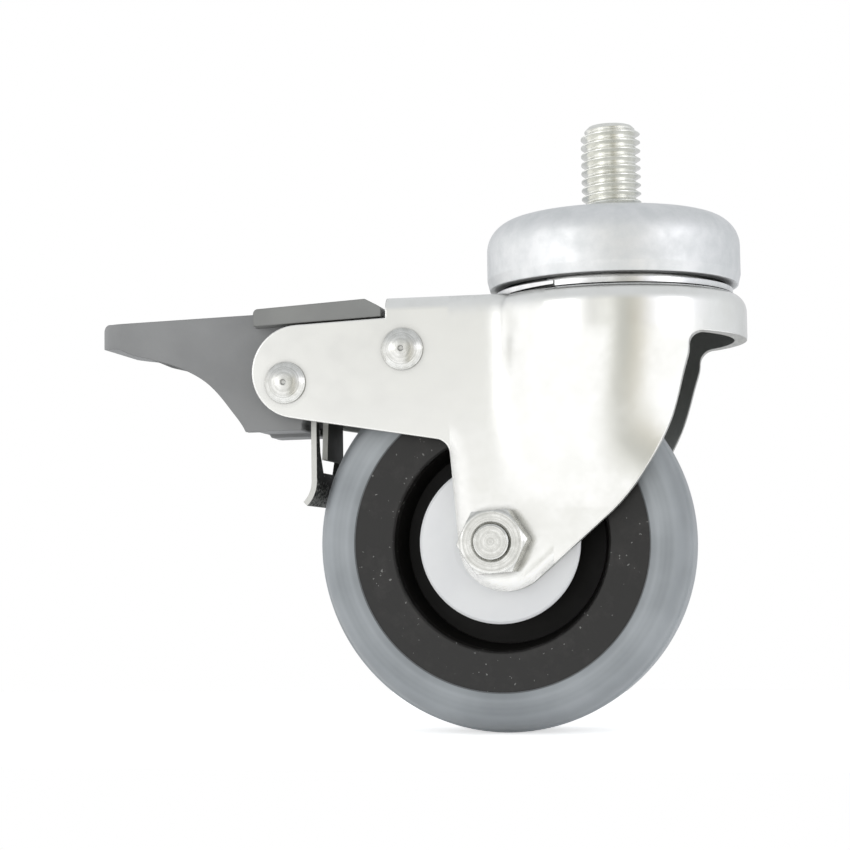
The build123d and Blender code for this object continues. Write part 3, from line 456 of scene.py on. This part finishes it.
def spring_steel(name, plain, pale, worn_lip):
    material, tree, bsdf, place = start_material(name, **{
        "IOR": 1.5, "Specular IOR Level": 0.15,
    })
    specks = add(tree, "ShaderNodeTexNoise", {
        "Vector": place, "Scale": 1 / (SPECK * MM), "Detail": 3.0,
    })
    clouds = add(tree, "ShaderNodeTexNoise", {
        "Vector": place, "Scale": 1 / (CLOUD * MM), "Detail": 4.0,
    })
    black = add(tree, "ShaderNodeMix", {
        0: clouds, MIX_A: linear(plain), MIX_B: linear(pale),
    }, data_type="RGBA")
    satin = add(tree, "ShaderNodeMapRange", {"Value": clouds, "To Min": 0.5, "To Max": 0.7})
    soft = add(tree, "ShaderNodeBevel", {"Radius": EDGE * MM}, samples=4)
    rough = add(tree, "ShaderNodeBump", {
        "Height": specks, "Distance": SPECK_DEPTH * MM, "Normal": soft,
    })
    tree.links.new(black.outputs[MIX_COLOUR], bsdf["Base Color"])
    tree.links.new(satin.outputs[0], bsdf["Roughness"])
    tree.links.new(rough.outputs[0], bsdf["Normal"])
    if worn_lip:
        over(tree, bsdf["Base Color"], lip_worn(tree, place, specks), linear("848480"))
    normal = add(tree, "ShaderNodeTexCoord").outputs["Normal"]
    facing = add(tree, "ShaderNodeSeparateXYZ", {0: normal}).outputs
    sideways = add(tree, "ShaderNodeMath", {0: facing["Y"]}, operation="ABSOLUTE")
    cut_edge = add(tree, "ShaderNodeMath", {0: sideways, 1: CUT_OVER}, operation="GREATER_THAN")
    over(tree, bsdf["Base Color"], cut_edge, linear("DADAD6"))
    # a torn edge scatters much of its light, so it is only partly a mirror
    bare = add(tree, "ShaderNodeMapRange", {"Value": cut_edge, "To Max": 0.4})
    tree.links.new(bare.outputs[0], bsdf["Metallic"])
    return material


wear(spring_steel("blackened spring steel, rubbed lip", "181917", "282A27", True), "brake_leaf")
wear(spring_steel("blackened spring steel", "24261F", "383A34", False), "lock_lever")

# %% [markdown]
# ## The thread on the stem
#
# The stem is M12: a screw thread of 1.75 mm pitch, rolled between dies, so its roots and crests
# are a little round. A thread could be painted on as bump, but its teeth show at the sides
# against the light, so it is cut here as a real helix. Every row of the grid climbs one pitch
# in one turn and so follows the crest. At both ends the rows are held back to a plain ring, and
# merging the points that then coincide leaves a clean, closed mesh.

# %% The thread's numbers
PITCH, CREST_RADIUS, THREAD_DEPTH = 1.75, 6.0, 1.07        # mm, as in the next two lines
NECK_RADIUS, NECK_TOP, RUN_OUT, TIP_RADIUS = 5.6, 1.1, 1.6, 4.4
SHANK_RADIUS, HEAD_RADIUS, HEAD_HEIGHT, HEAD_EDGE = 6.4, 9.5, 2.5, 0.8
COLUMNS = 72                            # round the stem
# Rows across one pitch: how far along it, and how deep, as shares of pitch and depth.
TOOTH = ((0.0, 0.0), (0.05, 0.0), (0.1, 0.12), (0.35, 0.82), (0.42, 0.96), (0.5, 1.0),
         (0.58, 0.96), (0.65, 0.82), (0.9, 0.12), (0.95, 0.0))
stem_low, stem_high = (corner[2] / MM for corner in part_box("threaded_stem"))
print("stem, mm:", round(stem_low, 2), "to", round(stem_high, 2))


# %% Rings of points up the stem
def thread_radius(level, depth):
    """Radius of the thread at a height, where its tooth is cut depth of the full depth."""
    grown = min(1.0, (level - NECK_TOP) / RUN_OUT)
    tooth = CREST_RADIUS - THREAD_DEPTH * depth
    return min(NECK_RADIUS + (tooth - NECK_RADIUS) * grown, TIP_RADIUS + stem_high - level)


def thread_ring(turn, along, depth):
    """A ring that climbs one pitch in its turn, held back to the thread's two ends."""
    ring = []
    for column in range(COLUMNS + 1):
        climbed = NECK_TOP + PITCH * (turn + along + column / COLUMNS)
        level = min(max(climbed, NECK_TOP), stem_high)
        ring.append((thread_radius(level, depth), level))
    return ring


def plain_ring(radius, level):
    return [(radius, level)] * (COLUMNS + 1)


head_top = stem_low + HEAD_HEIGHT
rings = [plain_ring(radius, level) for radius, level in (
    (0, stem_low), (HEAD_RADIUS - HEAD_EDGE, stem_low), (HEAD_RADIUS, stem_low + HEAD_EDGE),
    (HEAD_RADIUS, head_top), (SHANK_RADIUS, head_top), (SHANK_RADIUS, 0), (NECK_RADIUS, 0),
)]
turns = int((stem_high - NECK_TOP) / PITCH) + 2
for turn in range(-1, turns):
    rings += [thread_ring(turn, along, depth) for along, depth in TOOTH]
rings.append(plain_ring(0, stem_high))
print("stem:", len(rings), "rings")

# %% Join the rings into one mesh
MERGED_WITHIN = 0.0005                  # mm
CREASE = 40                             # degrees; sharper edges stay sharp

cut = bmesh.new()
grid = []
for ring in rings:
    row = []
    for column, (radius, level) in enumerate(ring):
        angle = 2 * pi * column / COLUMNS
        row.append(cut.verts.new(Vector((radius * cos(angle), radius * sin(angle), level)) * MM))
    grid.append(row)
for lower, upper in zip(grid, grid[1:]):
    for column in range(COLUMNS):
        cut.faces.new((lower[column], lower[column + 1], upper[column + 1], upper[column]))
bmesh.ops.remove_doubles(cut, verts=cut.verts, dist=MERGED_WITHIN * MM)
bmesh.ops.recalc_face_normals(cut, faces=cut.faces)
open_edges = sum(not edge.is_manifold for edge in cut.edges)

stem_mesh = bpy.data.meshes.new("stem_thread")
cut.to_mesh(stem_mesh)
cut.free()
stem_mesh.shade_smooth()
stem_mesh.set_sharp_from_angle(angle=radians(CREASE))
print("thread:", len(stem_mesh.polygons), "faces,", open_edges, "open edges")

# %% Put the cut stem in the plain one's place
stem_thread = bpy.data.objects.new("stem_thread", stem_mesh)
bpy.context.scene.collection.objects.link(stem_thread)
rolled = zinc("zinc on rolled thread", "EEEEE9", "E2E2DC", shine=(0.18, 0.28),
              cloud=2.0, edge=0.05, pebbled=0.003, waved=0.004, corner_shade=0.0)
stem_mesh.materials.append(rolled)
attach(stem_thread, "head")
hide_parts("threaded_stem")
print(rolled.name, "on", stem_thread.name)

# %% [markdown]
# ## The wheel
#
# The tyre is thermoplastic rubber, moulded over the centre: matt, with a faint bloom. Its mould
# was turned on a lathe, and turning leaves rings that show as soft bands of light and dark. A
# Wave texture would space them too evenly, so a noise along one line, the distance from the
# axle, draws them.

# %% Grey rubber
AXLE = middle_of("tyre")
BAND, BLOOM = 3.2, 14.0                    # mm
GRAIN = 0.5                                # mm; a blasted mould's 0.1 mm is too fine to show
BAND_DEPTH, GRAIN_DEPTH = 0.05, 0.01       # mm
LEAST_BLEND, MOST_BLEND = 0.75, 1.25       # of two noises added up
JOINT_RADIUS, JOINT_LINE = 29.2, 0.25      # mm; grime sits where rubber meets the centre


def grey_rubber():
    material, tree, bsdf, place = start_material("grey thermoplastic rubber", **{
        "IOR": 1.5, "Sheen Weight": 0.08,
    })
    distance = from_axis(tree, place, AXLE)
    bloom = add(tree, "ShaderNodeTexNoise", {
        "Vector": place, "Scale": 1 / (BLOOM * MM), "Detail": 3.0,
    })
    bands = add(tree, "ShaderNodeTexNoise", {
        "W": distance, "Scale": 1 / (BAND * MM), "Detail": 2.0,
    }, noise_dimensions="1D")
    blend = add(tree, "ShaderNodeMath", {0: bands, 1: bloom}, operation="ADD")
    share = add(tree, "ShaderNodeMapRange", {
        "Value": blend, "From Min": LEAST_BLEND, "From Max": MOST_BLEND,
    })
    colour = add(tree, "ShaderNodeMix", {
        0: share, MIX_A: linear("8F9498"), MIX_B: linear("AEB3B7"),
    }, data_type="RGBA")
    matt = add(tree, "ShaderNodeMapRange", {"Value": share, "To Min": 0.5, "To Max": 0.62})
    grain = add(tree, "ShaderNodeTexNoise", {
        "Vector": place, "Scale": 1 / (GRAIN * MM), "Detail": 2.0,
    })
    banded = add(tree, "ShaderNodeBump", {"Height": bands, "Distance": BAND_DEPTH * MM})
    blasted = add(tree, "ShaderNodeBump", {
        "Height": grain, "Distance": GRAIN_DEPTH * MM, "Normal": banded,
    })
    tree.links.new(colour.outputs[MIX_COLOUR], bsdf["Base Color"])
    tree.links.new(matt.outputs[0], bsdf["Roughness"])
    tree.links.new(blasted.outputs[0], bsdf["Normal"])
    joint = add(tree, "ShaderNodeMath", {0: distance, 1: (JOINT_RADIUS + JOINT_LINE) * MM},
                operation="LESS_THAN")
    over(tree, bsdf["Base Color"], joint, linear("66696B"))
    return material


wear(grey_rubber(), "tyre")


# %% [markdown]
# The centre is injection-moulded polypropylene, dyed black. On black plastic it is the gloss
# that the eye reads, so most of the work goes into the roughness: the face is satin with fine
# turning rings from the mould. It has a few pale rubs and nicks where castors knocked together
# in their box.

# %% Black polypropylene
MOULD_RING, MOULD_DEPTH = 0.8, 0.012            # mm; true rings of 0.1 mm are too fine to show
RUB, NICK, SOFT_EDGE = 6.0, 0.8, 0.3            # mm
NICKED_OVER = 0.98                              # of noise that is about 0.75 on average
RECESS_RADIUS = 21.0                            # mm


def black_polypropylene():
    material, tree, bsdf, place = start_material("black polypropylene", IOR=1.49)
    distance = from_axis(tree, place, AXLE)
    rings = add(tree, "ShaderNodeTexNoise", {
        "W": distance, "Scale": 1 / (MOULD_RING * MM), "Detail": 2.0,
    }, noise_dimensions="1D")
    rubs = add(tree, "ShaderNodeTexNoise", {
        "Vector": place, "Scale": 1 / (RUB * MM), "Detail": 5.0, "Roughness": 0.7,
    })
    rubbed = add(tree, "ShaderNodeMapRange", {"Value": rubs, "From Min": 0.5, "From Max": 0.75})
    colour = add(tree, "ShaderNodeMix", {
        0: rubbed, MIX_A: linear("1C1B1A"), MIX_B: linear("302E2D"),
    }, data_type="RGBA")
    satin = add(tree, "ShaderNodeMapRange", {
        "Value": rubs, **NEARLY_ALL, "To Min": 0.36, "To Max": 0.5,
    })
    soft = add(tree, "ShaderNodeBevel", {"Radius": SOFT_EDGE * MM}, samples=4)
    ringed = add(tree, "ShaderNodeBump", {
        "Height": rings, "Distance": MOULD_DEPTH * MM, "Normal": soft,
    })
    tree.links.new(colour.outputs[MIX_COLOUR], bsdf["Base Color"])
    tree.links.new(satin.outputs[0], bsdf["Roughness"])
    tree.links.new(ringed.outputs[0], bsdf["Normal"])
    # where castors knocked together, small pale nicks stand among the rubs
    nicks = add(tree, "ShaderNodeTexNoise", {
        "Vector": place, "Scale": 1 / (NICK * MM), "Detail": 2.0,
    })
    among = add(tree, "ShaderNodeMath", {0: rubs, 1: 0.5, 2: nicks}, operation="MULTIPLY_ADD")
    nicked = add(tree, "ShaderNodeMath", {0: among, 1: NICKED_OVER}, operation="GREATER_THAN")
    over(tree, bsdf["Base Color"], nicked, linear("7C7C7A"))
    # painted shade: the recess is given an even dark black and a weaker reflection
    shaded_recess = add(tree, "ShaderNodeMath", {0: distance, 1: RECESS_RADIUS * MM},
                 operation="LESS_THAN")
    over(tree, bsdf["Base Color"], shaded_recess, linear("1D1C1B"))
    recess_specular = add(tree, "ShaderNodeMapRange", {"Value": shaded_recess, "To Min": 0.5, "To Max": 0.15})
    tree.links.new(recess_specular.outputs[0], bsdf["Specular IOR Level"])
    return material


wear(black_polypropylene(), "wheel_centre")


# %% [markdown]
# ## Moulded greys
#
# The thread guards are pale polyethylene with a soft gloss. The pedal and its pad are nylon
# from a spark-eroded mould: tiny craters all over, which scatter the light and make it look
# dry. Cells from a Voronoi texture would look like leather, so a rough noise draws the
# craters. True ones are 0.05 mm across, too fine to show here, so they are drawn at 0.6 mm.
# Both plastics are the same recipe with other colours, gloss and crater size.

# %% A recipe for moulded plastic
FLOW, MOULDED_EDGE = 12.0, 0.4          # mm; flow marks, and how round the edges look


def moulded(name, plain, pale, ior, gloss, crater, depth):
    """Plastic with craters of crater mm across and depth mm deep.

    gloss is its least and most roughness.
    """
    material, tree, bsdf, place = start_material(name, IOR=ior)
    flows = add(tree, "ShaderNodeTexNoise", {
        "Vector": place, "Scale": 1 / (FLOW * MM), "Detail": 3.0,
    })
    share = add(tree, "ShaderNodeMapRange", {"Value": flows, **MOST})
    craters = add(tree, "ShaderNodeTexNoise", {
        "Vector": place, "Scale": 1 / (crater * MM), "Detail": 3.0, "Roughness": 0.65,
    })
    speck = add(tree, "ShaderNodeMath", {0: craters, 1: 0.5, 2: share},
                operation="MULTIPLY_ADD")
    blend = add(tree, "ShaderNodeMapRange", {"Value": speck, "From Min": 0.0, "From Max": 1.5})
    colour = add(tree, "ShaderNodeMix", {
        0: blend, MIX_A: linear(plain), MIX_B: linear(pale),
    }, data_type="RGBA")
    satin = add(tree, "ShaderNodeMapRange", {
        "Value": craters, **NEARLY_ALL, "To Min": gloss[0], "To Max": gloss[1],
    })
    soft = add(tree, "ShaderNodeBevel", {"Radius": MOULDED_EDGE * MM}, samples=4)
    pitted = add(tree, "ShaderNodeBump", {
        "Height": craters, "Distance": depth * MM, "Normal": soft,
    })
    tree.links.new(colour.outputs[MIX_COLOUR], bsdf["Base Color"])
    tree.links.new(satin.outputs[0], bsdf["Roughness"])
    tree.links.new(pitted.outputs[0], bsdf["Normal"])
    return material


# %% Guards, pedal and pad
wear(moulded("pale polyethylene", "EEEFF1", "F4F5F6", ior=1.51, gloss=(0.3, 0.38),
             crater=1.5, depth=0.004), "thread_guard_near", "thread_guard_far")
wear(moulded("spark-eroded nylon", "868788", "929394", ior=1.53, gloss=(0.48, 0.62),
             crater=0.6, depth=0.03), "brake_pedal")
wear(moulded("ribbed nylon pad", "828382", "8F908E", ior=1.53, gloss=(0.45, 0.6),
             crater=0.6, depth=0.02), "pedal_pad")

# %% [markdown]
# ## The floor
#
# The castor stands on a small sheet of white paper. A plain white floor would turn grey beside
# a white background. So this one glows for the camera and in reflections only, melts into the
# background, and still shows the contact shadow. The Light Path node tells such rays apart.

# %% Which rays the picture shows
def seen_rays(tree):
    """Two sockets: 1 for rays from the camera, and 1 for rays in reflections or glass."""
    rays = add(tree, "ShaderNodeLightPath").outputs
    mirrored = add(tree, "ShaderNodeMath", {
        0: rays["Is Glossy Ray"], 1: rays["Is Transmission Ray"],
    }, operation="MAXIMUM")
    return rays["Is Camera Ray"], mirrored.outputs[0]


# %% The floor
FLOOR_Z = cad_box[0][2]
PAPER = ((-0.2, -0.075), (0.2, -0.075), (0.2, 0.12), (-0.2, 0.12))     # corners, metres
FLOOR_GLOW = 0.6                        # where 1 alone would be white

floor_mesh = bpy.data.meshes.new("floor")
floor_mesh.from_pydata([(x, y, FLOOR_Z) for x, y in PAPER], [], [(0, 1, 2, 3)])
floor = bpy.data.objects.new("floor", floor_mesh)
bpy.context.scene.collection.objects.link(floor)
paper, tree, bsdf, _ = start_material("white paper", **{
    "Base Color": linear("FAFAFA"), "Roughness": 0.9, "Emission Color": linear("FFFFFF"),
})
by_camera, mirrored = seen_rays(tree)
seen = add(tree, "ShaderNodeMath", {0: by_camera, 1: mirrored}, operation="MAXIMUM")
glow = add(tree, "ShaderNodeMath", {0: seen, 1: FLOOR_GLOW}, operation="MULTIPLY")
tree.links.new(glow.outputs[0], bsdf["Emission Strength"])
floor_mesh.materials.append(paper)
print(paper.name, "at, mm:", round(FLOOR_Z / MM, 1))

# %% [markdown]
# ## The studio
#
# Metal looks like what stands round it, so the studio matters as much as the zinc. The world is
# white where the camera sees it. Reflections see a ring of walls: white, with a grey gap between
# two softboxes where the camera stands, and greyer at the far sides. Near table height the wall
# left of that gap is lit more strongly, so there is a second, lower ring. Soft light on plastic
# comes from the same world. Real walls could be modelled, but as colours on a ramp each band of
# reflection is one pair: an azimuth and a colour.

# %% Two rings of walls
# Azimuth in degrees, 0 to the front and growing to the right, with the colour there.
HIGH_RING = (
    (-180, "CCCCCE"), (-135, "C4C6C8"), (-115, "FFFFFF"), (-22, "FFFFFF"), (-15, "CECECB"),
    (-9, "DBDBD8"), (-4, "EFEFEB"), (3, "EDEDE9"), (9, "C2C2BC"), (14, "B8B8B2"),
    (23, "BEBAAE"), (31, "DEDCD6"), (39, "FAFAFF"), (66, "FAFAFF"), (98, "DEE0E2"),
    (122, "D6D8DA"), (150, "C6C8CA"), (180, "CCCCCE"),
)
LOW_RING = (
    (-180, "CCCCCE"), (-135, "C4C6C8"), (-115, "FFFFFF"), (-2, "FFFFFF"), (4, "E8E8E3"),
    (8, "C0C0BA"), (14, "B9B9B3"), (24, "C8C5BA"), (33, "EAE8E2"), (39, "FFFFFF"),
    (66, "FFFFFF"), (98, "DEE0E2"), (122, "D6D8DA"), (150, "C6C8CA"), (180, "CCCCCE"),
)

world = bpy.data.worlds.new("studio")
bpy.context.scene.world = world
world.use_nodes = True
tree = world.node_tree
tree.nodes.clear()
direction = add(tree, "ShaderNodeSeparateXYZ", {
    0: add(tree, "ShaderNodeTexCoord").outputs["Generated"],
}).outputs
front = add(tree, "ShaderNodeMath", {0: direction["Y"], 1: -1.0}, operation="MULTIPLY")
azimuth = add(tree, "ShaderNodeMath", {0: direction["X"], 1: front}, operation="ARCTAN2")
round_it = add(tree, "ShaderNodeMapRange", {"Value": azimuth, "From Min": -pi, "From Max": pi})


def wall_ring(colours):
    """Socket with the colour of a ring of walls, from its list of azimuths and colours."""
    ramp = add(tree, "ShaderNodeValToRGB", {0: round_it})
    stops = ramp.color_ramp.elements
    while len(stops) < len(colours):
        stops.new(1.0)
    for stop, (degrees, code) in zip(stops, colours):
        stop.position = (degrees + 180) / 360
        stop.color = linear(code)
    return ramp.outputs[0]


print("walls of", len(HIGH_RING), "colours above and", len(LOW_RING), "below")

# %% Walls, ceiling and white background
LOW_TOP, HIGH_FOOT = 0.03, 0.075        # sine of the height between the two rings
WALL_TOP, CEILING_FOOT = 0.22, 0.6      # sine of the height between walls and ceiling
MIRRORED_STRENGTH, SOFT_STRENGTH = 1.2, 1.1      # of the walls, in reflections and as light

raised = add(tree, "ShaderNodeMapRange", {
    "Value": direction["Z"], "From Min": LOW_TOP, "From Max": HIGH_FOOT,
})
walls = add(tree, "ShaderNodeMix", {
    0: raised, MIX_A: wall_ring(LOW_RING), MIX_B: wall_ring(HIGH_RING),
}, data_type="RGBA")
overhead = add(tree, "ShaderNodeMapRange", {
    "Value": direction["Z"], "From Min": WALL_TOP, "From Max": CEILING_FOOT,
})
room = add(tree, "ShaderNodeMix", {
    0: overhead, MIX_A: walls.outputs[MIX_COLOUR], MIX_B: linear("CDCFD1"),
}, data_type="RGBA")
by_camera, mirrored = seen_rays(tree)
strength = add(tree, "ShaderNodeMath", {
    0: mirrored, 1: MIRRORED_STRENGTH - SOFT_STRENGTH, 2: SOFT_STRENGTH,
}, operation="MULTIPLY_ADD")
studio = add(tree, "ShaderNodeBackground", {
    "Color": room.outputs[MIX_COLOUR], "Strength": strength,
})
backdrop = add(tree, "ShaderNodeBackground", {"Color": linear("FFFFFF"), "Strength": 1.0})
sky = add(tree, "ShaderNodeMixShader", {0: by_camera, 1: studio, 2: backdrop})
add(tree, "ShaderNodeOutputWorld", {"Surface": sky})
print(world.name, "has", len(tree.nodes), "nodes")

# %% [markdown]
# Two softboxes give the forms their direction. They could be glowing planes, but a lamp that
# Blender knows as one leaves less noise. Each one's power is worked out from how bright its
# cloth looks: a flat lamp of area A that looks B times as bright as white sends out
# pi * A * B watts.

# %% Softboxes
TARGET = Vector((-20, 0, -45)) * MM                         # what both lamps face
LAMP_HEIGHT = 12                                            # degrees above it
LAMP_DISTANCE, CLOTH_WIDTH, CLOTH_HEIGHT = 0.9, 0.4, 0.3    # metres


def softbox(name, side, brightness):
    """A flat lamp, with side its azimuth in degrees as seen from the object."""
    data = bpy.data.lights.new(name, "AREA")
    data.shape = "RECTANGLE"
    data.size, data.size_y = CLOTH_WIDTH, CLOTH_HEIGHT
    data.energy = pi * CLOTH_WIDTH * CLOTH_HEIGHT * brightness
    lamp = bpy.data.objects.new(name, data)
    bpy.context.scene.collection.objects.link(lamp)
    turn, lift = radians(side), radians(LAMP_HEIGHT)
    away = Vector((sin(turn) * cos(lift), -cos(turn) * cos(lift), sin(lift)))
    lamp.location = TARGET + away * LAMP_DISTANCE
    lamp.rotation_euler = away.to_track_quat("Z", "Y").to_euler()
    print(name, round(data.energy, 2), "W")


softbox("left softbox", side=-40, brightness=1.15)
softbox("right softbox", side=60, brightness=1.0)

# %% [markdown]
# ## Finish
#
# The Standard view shows colours as they are. The default view is made for harsh light and
# would turn the white background grey.

# %% Finish
bpy.context.scene.view_settings.view_transform = "Standard"
